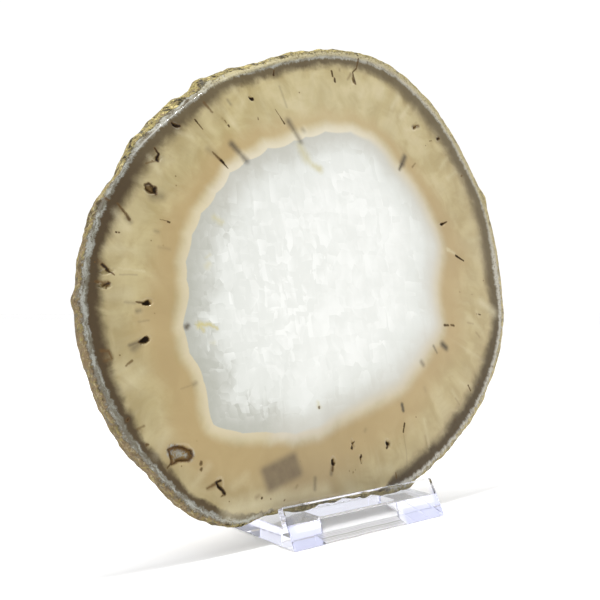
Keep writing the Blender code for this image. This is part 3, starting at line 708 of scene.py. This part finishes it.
def storeStrokes(mesh, centres, shown, name, marks, slots):
    # Every face keeps the few strokes nearest to its centre; distance = to the segment, less its half
    # width, counted in softnesses. Faces out of reach of a stroke keep it at no strength.
    table = np.array(marks, float)
    turns, outs = np.radians(table[:, 0:3:2]), table[:, 1:4:2]
    ends = np.stack([outs * np.cos(turns), outs * np.sin(turns)], -1)
    width, endWidth, softness, strength = table[:, 4:].T
    softness = strokeRules["softer"] * softness
    begin, run = ends[:, 0], ends[:, 1] - ends[:, 0]
    least = strokeRules["shortest"]
    run = run + np.where(np.hypot(run[:, :1], run[:, 1:]) < least, least, 0.0)
    reach = centres[:, None] - begin
    share = np.clip((reach * run).sum(-1) / (run * run).sum(-1), 0, 1)
    gap = np.linalg.norm(reach - share[..., None] * run, axis=-1)
    off = (gap - width - share * (endWidth - width)) / softness
    near = np.argsort(off, axis=1)[:, :slots]
    thirdZero = ((0, 0), (0, 1))
    parts = {"From": np.pad(begin, thirdZero), "Run": np.pad(run, thirdZero),
             "Brush": np.stack([width, endWidth - width, 1 / softness], -1)}
    for slot, pick in enumerate(near.T):
        past = gap[np.arange(len(pick)), pick] - np.maximum(width, endWidth)[pick] - softness[pick]
        inReach = past < strokeRules["reach"]
        for part, values in parts.items():
            storeLayer(mesh, f"{name}{slot}{part}", values[pick], "FACE")
        storeLayer(mesh, f"{name}{slot}Strength", strength[pick] * inReach * shown, "FACE")


def strokes(group, place, name):
    # The strokes that this face keeps, on one mask: each the greater of itself and those before it
    mask = 0.0
    for slot in range(strokeKinds[name][1]):
        stem = f"{name}{slot}"
        parts = {part: attribute(place.tree, stem + part, "Vector") for part in ("From", "Run", "Brush")}
        mask = made("ShaderNodeGroup", {
            "Place": place, **parts, "Strength": attribute(place.tree, stem + "Strength"), "Before": mask,
            }, "Mask", node_tree=group)
    return mask


def ringStrokes(points, width, softness, strength):
    # A closed ring of strokes through (x, z) points, all with one half width, softness and strength
    spots = [(math.degrees(math.atan2(z, x)), math.hypot(x, z)) for x, z in points]
    return [(*spots[k - 1], *spots[k], width, width, softness, strength) for k in range(len(spots))]


# Inside the large vug: its rim drawn in towards the middle, and its floor
vugInside = 0.88 * np.array(vugRing) + 0.12 * np.mean(vugRing, 0)
vugFloor = (219.8, 82.0, 222.9, 79.4, 1.9, 1.6, 0.4, 1.0)
# Each kind's strokes, and how many of them a face may keep
strokeKinds = {
    "dark": ([*darkMarks, *ringStrokes(vugRing, 0.20, 0.3, 0.9), *ringStrokes(pitRing, 0.28, 0.35, 0.95)], 3),
    "brown": ([*brownMarks, *ringStrokes(vugInside, 0.55, 0.4, 0.95)], 2),
    "grey": (greyMarks, 2),
    "pale": (paleMarks, 2),
    "yellow": (yellowMarks, 2),
    "vug": ([vugFloor], 1),
}


def pattern(place, name):
    return noise(place, *stonePatterns[name])


def spotted(place, name):
    # Where a pattern is high or low
    grain, levels = stoneSpots[name]
    return ranged(noise(place, *grain), *levels)


def facets(place, scale):
    # Blocky cells that slope each along its own random direction, counted from the cell's middle
    colour = cells(place, scale, "Color", "CHEBYCHEV")
    middle = Wire(colour.socket.node.outputs["Position"])
    return dot((place - middle) * scale, colour - (0.5, 0.5, 0.5))


def flatWander(flat, scale):
    # A small random step within the face
    return (noise(flat, scale, 3.0, 0.6, output="Color") - (0.5, 0.5, 0.5)) * (1.0, 1.0, 0.0)


def stoneMaterial():
    material, tree, shader = newMaterial("polishedAgate")
    finish = stoneFinish
    place = attribute(tree, "stonePlace", "Vector")
    fromEdge, fromQuartz, sunk, crispEdge = (
        attribute(tree, name) for name in ("fromEdge", "fromQuartz", "sunk", "crispEdge"))
    blur, grey, dark, darkDepth, tanReach, crustFrom, pale, paintedLightAndShade = (
        attribute(tree, name) for name in bandCurves)
    x, depth, z = parted(place)
    flat = joined(x, z)
    isFront = ranged(depth, 2.2, 2.6, 1.0, 0.0)
    stroke = strokeGroup()

    # Radial coordinates: the direction from the middle, long, with the radius as a slow third axis
    way = sums("NORMALIZE", flat)
    fibre = way * 60.0 + joined(z=sums("LENGTH", flat) * 0.12)
    lowRight, upRight = dot(way, (0.707, -0.707, 0.0)), dot(way, (0.42, 0.91, 0.0))

    # Uneven edges: slow waves, fine teeth
    wave = pattern(place, "wave") - 0.5
    teeth = pattern(fibre, "teeth") - 0.5
    fineTeeth = pattern(place, "fineTeeth") - 0.5
    edge = fromEdge + wave * 1.1 + teeth * 2.2 + fineTeeth * 0.7

    # Beige body with clouds, fibres and patches
    clouds = pattern(place, "clouds")
    patches = cells(place + flatWander(place, 0.12) * 6.0, finish["patchSize"])
    body = painted(
        "beigeDeep",
        (ranged(clouds, 0.34, 0.66), "beigeLight"),
        (spotted(fibre, "fans"), "palePatch"),
        (spotted(fibre, "threads"), "darkBand"),
        (ranged(patches, 0.15, 0.70, 0.09, 0.0), "darkBand"),
        (ranged(patches, 0.55, 0.95, 0.0, 0.22), "palePatch"))

    # Tan ring and cream edge round the quartz
    slow = fromQuartz + (clouds - 0.5) * 6.0
    tanMask = ranged(slow, 1.2, 5.0) * ranged(slow / tanReach, 0.4, 1.0, 1.0, 0.0)
    creamShare = (fromQuartz + wave * 1.5) / (blur * 0.4 + 4.9)
    creamMask = ranged(creamShare, 0.0, 1.0, 1.0, 0.0) * ranged(blur, 0.5, 3.0, 1.0, 0.70)
    body = painted(
        body,
        (tanMask * finish["tanStrength"], "tan"),
        (spotted(fromQuartz + wave * 2.0, "rings"), "beigeDeep"),
        (creamMask, mixed(ranged(pale, 0.30, 0.55), "creamLeft", "cream")))

    # Painted light and shade: lighter at the top and right, darker at the foot, as the light falls; also
    # darker towards the rim, with cloudy tone that differs at random
    shade = paintedLightAndShade - ranged(fromEdge, 3.0, 16.0, 0.30, 0.0) + (clouds - 0.5) * 0.35
    body = painted(
        body,
        (ranged(shade, -0.35, 0.5, 0.42, 0.0, shape="LINEAR"), finish["low"]),
        (ranged(shade, 0.5, 1.1, 0.0, 0.30, shape="LINEAR"), "palePatch"),
        (ranged(pale, 0.5, 1.0, 0.0, 0.28), "rosy"))

    # Dark band under the grey one, sharp outside and soft inside
    past = edge - grey + (pattern(fibre, "comb") - 0.5) * ranged(pale, 0.4, 0.8, 0.8, 1.4)
    softEdge = fromEdge - grey + wave * 2.2 + teeth * 0.6 + (clouds - 0.5) * 4.0
    cool = pattern(place, "darkPatches") * ranged(pale, 0.2, 0.9, 0.1, 1.0)
    body = mixed(ranged(softEdge / dark, 0.45, 1.55, 1.0, 0.0) * darkDepth, body,
                 mixed(cool, "darkBand", "darkBandCool"))

    # Grey band: long pale streaks and dark specks that follow the rim, paler and golden at the right
    alongRim = way * 18.0 + joined(z=edge * 1.1)
    streaks = pattern(alongRim, "streaks") - ranged(pale, 0.09, 0.17, 0.05, 0.0)
    cooler = ranged(past, -1.6, -0.2) * ranged(upRight, 0.3, 0.7, 0.0, 0.8)
    paleTone = painted("paleBand", (ranged(lowRight, 0.3, 0.8), "paleBandLow"), (cooler, "coolBand"))
    golden = ranged(fromEdge + wave * 1.5, -0.1, 1.3, 1.0, 0.0) * ranged(upRight, 0.35, 0.70, 0.0, 0.9)
    dashes = ranged(streaks, 0.38, 0.45, 0.85, 0.0) * ranged(fromEdge, -0.4, 0.2, 1.0, 0.3)
    greyTone = painted(
        "greyBand",
        (ranged(streaks, 0.42, 0.60), "greyBandLight"),
        (ranged(pale, 0.35, 0.8, 0.0, 0.9), paleTone),
        (golden, "goldRim"),
        (dashes, "darkBand"),
        (spotted(place, "specks"), "darkBand"),
        (spotted(alongRim, "flashes") * ranged(fromEdge, -0.4, -0.1, 1.0, 0.0), "glint"))
    inBand = past / ranged(pale, 0.5, 0.9, 0.4, 0.8)
    body = mixed(ranged(inBand, -1.0, 1.0, 1.0, 0.0), body, greyTone)

    # Quartz: grey near its line, white further in, built of faint facets that tilt each its own way, painted
    # lighter on one side and darker on the other as light would fall on them; with painted shine, and the
    # grey near the line painted darker at the left
    bend = noise(place, 0.07, 0.0, 0.5, output="Color") - (0.5, 0.5, 0.5)
    bent = (place + bend * finish["facetBend"]) * finish["facetStretch"]
    haze = pattern(bent, "haze") - 0.5
    large, small, tiny = (facets(bent + shift, size) for shift, size in zip(
        ((0.0, 0.0, 0.0), (7.0, 3.0, 9.0), (3.0, 8.0, 1.0)), finish["facetSizes"]))
    crystal = (large * 0.50 + small * ranged(pale, 0.25, 0.55, 1.35, 0.45)
               + tiny * ranged(pale, 0.25, 0.55, 1.10, 0.15) + haze * finish["hazeStrength"])
    depthIn = fromQuartz + haze * 7.0 + crystal * ranged(fromQuartz, -6.0, -1.5, -4.0, -1.2)
    milkFrom, lightFrom = (ranged(pale, 0.2, 0.6, *ends) for ends in ((-13.0, -9.0), (-38.0, -20.0)))
    facetLightAndShade = ranged(crystal, -0.35, 0.35, 0.45, 1.0)
    # Painted highlight: shine on the brighter parts of the crystals
    paintedShine = sums("MAXIMUM", ranged(large, 0.10, 0.32, 0.0, 0.5), ranged(small, 0.20, 0.42, 0.0, 0.8))
    quartz = painted(
        "quartzDeep",
        # Painted shade: the grey near the line is darker at the left than at the right
        (ranged(depthIn, milkFrom, 0.5), mixed(pale, "quartzEdge", "quartzEdgeRight")),
        (facetLightAndShade * ranged(depthIn, lightFrom, -3.0, 1.0, 0.05), "quartzBright"),
        (paintedShine * ranged(fromQuartz, -14.0, -4.0, 1.0, 0.0), "quartzBright"),
        (strokes(stroke, flat + flatWander(flat, 0.9) * 1.6, "yellow"), "yellowStain"))
    body = mixed(ranged((fromQuartz + fineTeeth * 0.35) / blur, -1.0, 1.0, 1.0, 0.0), body, quartz)

    # Strokes on the polished front: their places wander a little so that no edge is straight
    wander = flatWander(flat, 1.4)
    drawn, loose = flat + wander * 0.55, flat + wander * 1.6
    crisp = strokes(stroke, drawn, "dark")
    core = ranged(crisp + (pattern(place, "wearAndShade") - 0.5) * 0.9, 0.30, 0.85)
    body = painted(
        body,
        (strokes(stroke, loose, "pale") * finish["paleMarkStrength"], "palePatch"),
        (strokes(stroke, drawn, "grey"), "markGrey"),
        (strokes(stroke, drawn, "vug"), mixed(spotted(place, "vugGrains"), "vugFloor", "greyBandLight")),
        (strokes(stroke, drawn, "brown"), "markBrown"),
        (ranged(crisp, 0.0, 0.45, 0.0, 0.75), "markBrown"),
        (core * crisp, "mark"))

    # The label on the back shows through as a painted shadow on the front face, and both faces have small
    # pits that nobody drew
    pits = ranged(cells(place, finish["pitSize"]), 0.035, 0.075, 0.8, 0.0)
    body = painted(
        body,
        (paintedLabelShadow(flat, wave) * isFront, "labelShade"),
        (pits * ranged(fromQuartz, 4.0, 16.0), "markBrown"))

    # Rough crust over all, and a glint where the saw left a crisp edge
    onCrust, crust, relief = crustFinish(place, fromEdge, crustFrom, pale)
    glint = ranged(abs(fromEdge - 0.05), 0.05, 0.22, 0.5, 0.0) * crispEdge
    holes = sums("MAXIMUM", ranged(sunk, 0.05, 0.3), crisp)
    coat = limited((1.0 - onCrust) * ranged(fromEdge, -0.25, -0.05) * (1.0 - holes))
    setInputs(shader, {
        "Base Color": painted(body, (onCrust, crust), (glint, "glint")),
        "Roughness": ranged(coat, 0.0, 1.0, finish["dullRoughness"], finish["polishRoughness"]),
        "Normal": bumped(relief * onCrust, 0.9, finish["relief"]),
        "Specular IOR Level": finish["specular"], "IOR": finish["ior"],
        "Coat Weight": coat, "Coat Roughness": finish["coatRoughness"], "Coat IOR": finish["ior"]})
    return material


def paintedLabelShadow(flat, wave):
    # A soft rectangle of painted shadow: the label's outline as it appears on the front face
    turn = math.radians(labelShadow["turn"])
    moved = flat - labelShadow["middle"]
    along = dot(moved, (math.cos(turn), math.sin(turn), 0.0))
    up = dot(moved, (-math.sin(turn), math.cos(turn), 0.0))
    inside = ranged(abs(along), *labelShadow["side"], 1.0, 0.0)
    inside = inside * ranged(abs(up), *labelShadow["end"], 1.0, 0.0)
    return limited(inside * (wave * 0.5 + 0.80))


def crustFinish(place, fromEdge, crustFrom, pale):
    # Mask, colour and relief of the natural skin: gold, brown and pale grains with flecks, and painted shade
    # darkening its pits and hollows
    wallIn = fromEdge * -1.0 - crustFrom
    onCrust = ranged(wallIn + (pattern(place, "crustLine") - 0.5) * 1.3, -0.25, 0.15)
    grains, sand = pattern(place, "crustGrains"), pattern(place, "crustSand")
    onTop = ranged(abs(pale - 0.46), 0.05, 0.2, 1.0, 0.0)
    flecked = spotted(place, "crustFlecks") * ranged(pale, 0.15, 0.35, 0.4, 1.0)
    wearAndShade = ranged(pale, 0.12, 0.36, 0.4, 1.0) * ranged(pale, 0.5, 0.8, 1.0, 0.5)
    crust = painted(
        "crustBrown",
        (ranged(pale + (grains - 0.5) * 2.6, 0.05, 0.55), "crustGold"),
        (ranged(pale + (sand - 0.5) * 2.0, 0.5, 1.0), "crustPale"),
        (flecked, mixed(onTop * 0.8, "crustFleck", "crustYellow")),
        # Painted shade in the crust's hollows and pits, stronger on some sides of the stone than others
        (spotted(place, "crustHollows") * wearAndShade, "crustPitShade"),
        (spotted(place, "crustPits") * wearAndShade, "crustPitShade"),
        (spotted(place, "crustStreaks"), "greyBand"))
    return onCrust, crust, grains * 0.7 + sand * 0.5


standLook = {
    "ior": 1.49,
    "absorbed": (0.06, 0.12, 0.62, 1.0),     # what is left of the light in a thick part
    "density": 4.0,
    "tint": (0.60, 0.62, 0.80, 1.0),         # faint lavender where light leaves the plate by its edges
    "glow": (0.06, 0.06, 0.06, 1.0),         # light that the underside throws back
    "paintedStripeDark": (0.06, 0.06, 0.05, 1.0),  # and painted stripes of light and shade in its scuffed patch, which stand in for reflections
    "paintedStripeLight": (0.24, 0.24, 0.25, 1.0),
    "scuffRoughness": 0.55,
    "under": 0.2,                            # mm up from the table that count as the underside
    "lipSlope": -0.55,                       # how far the lip leans back for each mm up
    # All in mm: where the patch and the tinted edges lie
    "scuffMiddle": -7.5, "scuffHalf": 16.0, "scuffBack": -18.8,
    "windowMiddle": -8.0, "windowHalf": (15.0, 17.0), "plateTop": (4.0, 4.6),
    "lipMiddle": -4.95, "lipHalf": (26.5, 28.5), "lipFade": (6.5, 9.5), "lipFront": (-26.5, -26.8),
}


def standMaterial():
    look = standLook
    material, tree, shader = newMaterial("clearAcrylic")
    place = start(tree, "ShaderNodeTexCoord", "Object")
    smears = noise(place, 90.0, 3.0, 0.6)
    x, y, z = parted(place * (1 / mm))
    inMiddle = sums("LESS_THAN", abs(x - look["scuffMiddle"]), look["scuffHalf"])
    under = sums("LESS_THAN", z, look["under"])
    scuffed = under * (inMiddle * sums("LESS_THAN", y, look["scuffBack"]))
    # Painted light: the underside glows, and in the scuffed patch the glow runs in stripes that are painted
    # reflections
    paintedStripes = ranged(noise(smears * 1.5 + y, 0.7, 2.0, 0.7), 0.40, 0.60)
    glow = mixed(scuffed, look["glow"], mixed(paintedStripes, look["paintedStripeDark"], look["paintedStripeLight"]))

    # Light caught in the plate leaves by its front edge, beside the window, and by the lip's ends
    beside = ranged(abs(x - look["windowMiddle"]), *look["windowHalf"])
    beside = beside * ranged(z, *look["plateTop"], 1.0, 0.0)
    atEnd = ranged(abs(x - look["lipMiddle"]), *look["lipHalf"])
    atEnd = atEnd * ranged(z, *look["lipFade"], 1.0, 0.0)
    onLip = ranged(z * look["lipSlope"] + y, *look["lipFront"])
    tint = sums("MAXIMUM", limited(beside), limited(atEnd)) * limited(onLip)
    setInputs(shader, {
        "Base Color": mixed(tint, white, look["tint"]),
        "Roughness": scuffed * look["scuffRoughness"] + ranged(smears, 0.3, 0.8, 0.0, 0.05),
        "Emission Color": mixed(under, black, glow),
        "Emission Strength": 1.0, "Transmission Weight": 1.0, "IOR": look["ior"]})
    absorb = start(tree, "ShaderNodeVolumeAbsorption")
    setInputs(absorb.socket.node, {"Color": look["absorbed"], "Density": look["density"]})
    setInputs(tree.nodes["Material Output"], {"Volume": absorb})
    return material


labelLook = {"paper": (216, 213, 203), "fibre": (232, 230, 223), "stain": (196, 186, 160),
             "roughness": 0.7, "relief": 0.05 * mm}


def labelMaterial():
    material, tree, shader = newMaterial("blankLabel")
    place = start(tree, "ShaderNodeTexCoord", "Object")
    pulp = noise(place, 900.0, 4.0, 0.6)
    stains = ranged(noise(place, 120.0, 3.0, 0.6), 0.5, 0.8, 0.0, 0.25)
    paper = mixed(ranged(pulp, 0.3, 0.7), tone(*labelLook["paper"]), tone(*labelLook["fibre"]))
    setInputs(shader, {
        "Base Color": mixed(stains, paper, tone(*labelLook["stain"])),
        "Normal": bumped(pulp, 0.3, labelLook["relief"]), "Roughness": labelLook["roughness"]})
    return material


floorLook = {"colour": (0.83, 0.83, 0.83, 1.0), "roughness": 0.55, "gloss": 0.2,
             "rings": (0.05, 0.2, 0.5, 1.0, 2.0, 4.0), "sides": 64, "below": 0.05 * mm}


def buildFloor():
    # A flat disc of rings, 8 m across, just under the stand
    spans, sides = np.array(floorLook["rings"])[:, None], floorLook["sides"]
    turn = np.linspace(0, 2 * math.pi, sides, endpoint=False)
    points = onSlice(spans, np.full((len(spans), sides), -floorLook["below"]), turn)[..., [0, 2, 1]]
    here, ahead, quads = gridFaces(len(spans), sides)
    mesh = bpy.data.meshes.new("tabletop")
    mesh.from_pydata(points.reshape(-1, 3).tolist(), [], quads.tolist() + [here[0].tolist()])
    material, tree, shader = newMaterial("whiteTabletop")
    setInputs(shader, {"Base Color": floorLook["colour"], "Roughness": floorLook["roughness"],
                       "Specular IOR Level": floorLook["gloss"]})
    mesh.materials.append(material)
    floor = bpy.data.objects.new("tabletop", mesh)
    scene.collection.objects.link(floor)


lighting = {
    "skyWhite": 1.05,          # what the camera sees behind the object
    "skyLight": 1.45,          # light from all round
    "skyBack": 0.96,           # light from behind
    "skyDim": 0.30,            # light from the side that the polished face mirrors
    "mirrorWay": (0.619, -0.717, 0.319),
    "mirrorFade": (0.72, 0.95),
    "topPower": 8.0,           # watts
    "topSize": 0.16,           # metres across
    "topPlace": (0.03, 0.135, 1.0),
}
view = {
    "place": (-0.16755, -0.19719, 0.0681),
    "turn": math.radians(38.26),
    "lens": 48.0,
    "sensor": 36.0,
    "nearest": 0.01,
}


def buildLight():
    world = bpy.data.worlds.new("studio")
    scene.world = world
    world.use_nodes = True
    tree = world.node_tree
    way = sums("NORMALIZE", start(tree, "ShaderNodeTexCoord", "Generated"))
    behind = limited(dot(way, (0.0, 1.0, 0.0)))
    level = ranged(behind, 0.0, 0.8, lighting["skyLight"], lighting["skyBack"])
    level = ranged(dot(way, lighting["mirrorWay"]), *lighting["mirrorFade"], level, lighting["skyDim"])
    seen = start(tree, "ShaderNodeLightPath", "Is Camera Ray")
    level = made("ShaderNodeMix", {0: seen, 2: level, 3: lighting["skyWhite"]})
    setInputs(tree.nodes["Background"], {"Strength": level, "Color": white})
    lamp = bpy.data.lights.new("topSoftbox", "AREA")
    lamp.shape, lamp.size, lamp.energy = "SQUARE", lighting["topSize"], lighting["topPower"]
    holder = bpy.data.objects.new("topSoftbox", lamp)
    x, y, z = lighting["topPlace"]
    holder.location = (x, y, z)
    holder.rotation_euler = (-math.atan2(y, z), math.atan2(x, z), 0)
    scene.collection.objects.link(holder)


def buildCamera():
    camera = bpy.data.cameras.new("photoView")
    camera.lens, camera.sensor_width, camera.clip_start = view["lens"], view["sensor"], view["nearest"]
    holder = bpy.data.objects.new("photoView", camera)
    holder.location = view["place"]
    holder.rotation_euler = (math.radians(90), 0, -view["turn"])
    scene.collection.objects.link(holder)
    scene.camera = holder


buildCamera()
buildLight()
buildFloor()
print("camera, light and floor placed")
stone = buildStone()
stone.data.materials.append(stoneMaterial())
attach(stone, "root")
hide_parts("agate_slice")
print("stone finished")
for name, material in (("clear_stand", standMaterial()), ("back_label", labelMaterial())):
    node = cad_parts[name]
    node.data.materials.clear()
    node.data.materials.append(material)
print("stand and label finished")
scene.view_settings.view_transform = "Standard"
scene.view_settings.look = "None"
scene.cycles.use_denoising = True
scene.cycles.max_bounces = 32              # the stand carries light far by inner reflection
scene.cycles.glossy_bounces = 24
scene.cycles.transmission_bounces = 24
